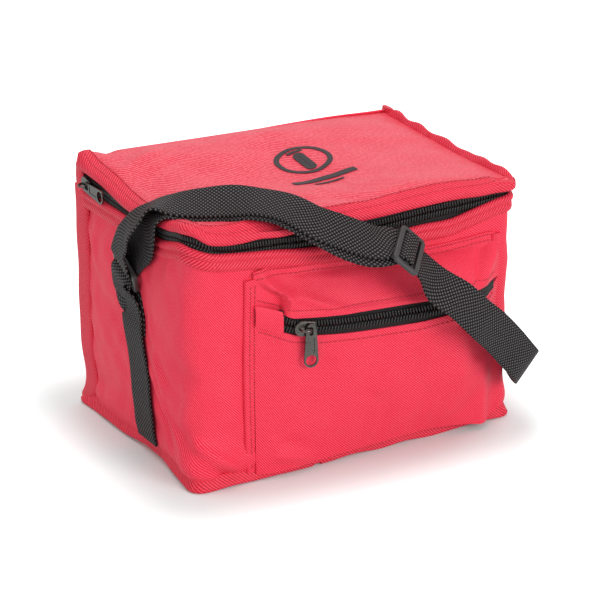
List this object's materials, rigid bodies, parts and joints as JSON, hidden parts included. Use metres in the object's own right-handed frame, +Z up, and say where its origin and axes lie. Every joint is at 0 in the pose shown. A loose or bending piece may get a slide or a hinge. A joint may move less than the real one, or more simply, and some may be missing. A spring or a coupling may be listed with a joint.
{
  "type": "insulated specimen transport bag",
  "caption": "Soft-sided insulated transport bag with a padded zip-round lid, a zipped front pocket and a webbing shoulder strap on side loops.",
  "frame": {"origin": "middle of the flat base, on the surface that the bag stands on", "axes": "+X to the wearer's right along the front, -Y out of the front pocket, +Z up"},
  "size_m": [0.2488, 0.2006, 0.182],
  "materials": {
    "red_cloth": "coated polyester twill, satin",
    "red_binding": "folded binding tape, stitched",
    "foam": "closed-cell polyethylene foam, matt",
    "liner_film": "wipe-clean film, satin",
    "zip_tape": "woven polyester zip tape",
    "zip_coil": "nylon monofilament coil",
    "nickel": "dark nickel-plated zinc, polished",
    "black_webbing": "woven polypropylene webbing",
    "moulded_plastic": "acetal, matt moulded",
    "print_ink": "transfer print"
  },
  "bodies": {
    "bag": {"bottom_panel": "red_cloth", "front_side_panel": "red_cloth", "back_panel": "red_cloth", "bottom_foam": "foam", "front_side_foam": "foam", "back_foam": "foam", "inner_liner": "liner_film", "bottom_binding": "red_binding", "rim_binding": "red_binding", "inner_rim_binding": "red_binding", "rear_binding_left": "red_binding", "rear_binding_right": "red_binding", "main_zip_tape_lower": "zip_tape", "main_zip_coil_lower": "zip_coil", "main_zip_stop_left": "nickel", "main_zip_stop_right": "nickel", "pocket_lower_panel": "red_cloth", "pocket_upper_panel": "red_cloth", "pocket_zip_tape_lower": "zip_tape", "pocket_zip_tape_upper": "zip_tape", "pocket_zip_coil_lower": "zip_coil", "pocket_zip_coil_upper": "zip_coil", "pocket_seam_strip_left": "red_cloth", "pocket_seam_strip_right": "red_cloth", "pocket_end_tab": "red_cloth", "strap_anchor_left": "black_webbing", "strap_anchor_right": "black_webbing"},
    "lid": {"lid_panel": "red_cloth", "lid_foam": "foam", "lid_liner": "liner_film", "lid_binding": "red_binding", "main_zip_tape_upper": "zip_tape", "main_zip_coil_upper": "zip_coil", "lid_print": "print_ink", "lid_hinge_cloth": "red_cloth"},
    "shoulder_strap": {"shoulder_strap": "black_webbing", "strap_return_layer": "black_webbing", "strap_leg_left": "black_webbing", "strap_leg_right": "black_webbing"},
    "main_slider": {"main_slider": "nickel"},
    "main_pull_tab": {"main_pull_tab": "nickel"},
    "pocket_slider": {"pocket_slider": "nickel"},
    "pocket_pull_tab": {"pocket_pull_tab": "nickel"},
    "strap_adjuster": {"strap_adjuster": "moulded_plastic", "adjuster_webbing": "black_webbing"},
    "strap_ring_left": {"strap_ring_left": "moulded_plastic"},
    "strap_ring_right": {"strap_ring_right": "moulded_plastic"}
  },
  "joints": [
    {"name": "lid_hinge", "type": "hinge", "parent": "bag", "child": "lid", "pos_m": [0, 0.076, 0.158], "axis": [-1, 0, 0], "range_deg": [0, 150], "deforming": ["lid_hinge_cloth"]},
    {"name": "strap_swing", "type": "hinge", "parent": "bag", "child": "shoulder_strap", "pos_m": [-0.11783, -0.00094, 0.12509], "axis": [-0.9963, -0.0057, 0.0854], "range_deg": [0, 60], "deforming": ["shoulder_strap", "strap_return_layer", "strap_leg_left", "strap_leg_right"]},
    {"name": "main_zip_slide", "type": "slide", "parent": "bag", "child": "main_slider", "axis": [0, -1, 0], "range_m": [0, 0.11]},
    {"name": "main_tab_swing", "type": "hinge", "parent": "main_slider", "child": "main_pull_tab", "pos_m": [-0.1149, 0.061, 0.153], "axis": [0, 0, -1], "range_deg": [0, 175]},
    {"name": "pocket_zip_slide", "type": "slide", "parent": "bag", "child": "pocket_slider", "axis": [0.9874, -0.1583, 0], "range_m": [0, 0.105]},
    {"name": "pocket_tab_swing", "type": "hinge", "parent": "pocket_slider", "child": "pocket_pull_tab", "pos_m": [-0.04018, -0.09085, 0.098], "axis": [-0.1583, -0.9874, 0], "range_deg": [-40, 90]},
    {"name": "strap_adjust", "type": "slide", "parent": "shoulder_strap", "child": "strap_adjuster", "axis": [-0.6623, 0.3246, 0.6753], "range_m": [0, 0.01]},
    {"name": "left_ring_swing", "type": "hinge", "parent": "bag", "child": "strap_ring_left", "pos_m": [-0.1147, 0.004, 0.1145], "axis": [0, -0.9063, -0.4226], "range_deg": [-5, 15]},
    {"name": "right_ring_swing", "type": "hinge", "parent": "bag", "child": "strap_ring_right", "pos_m": [0.1147, 0.004, 0.1145], "axis": [0, -0.9397, 0.342], "range_deg": [0, 25]}
  ]
}
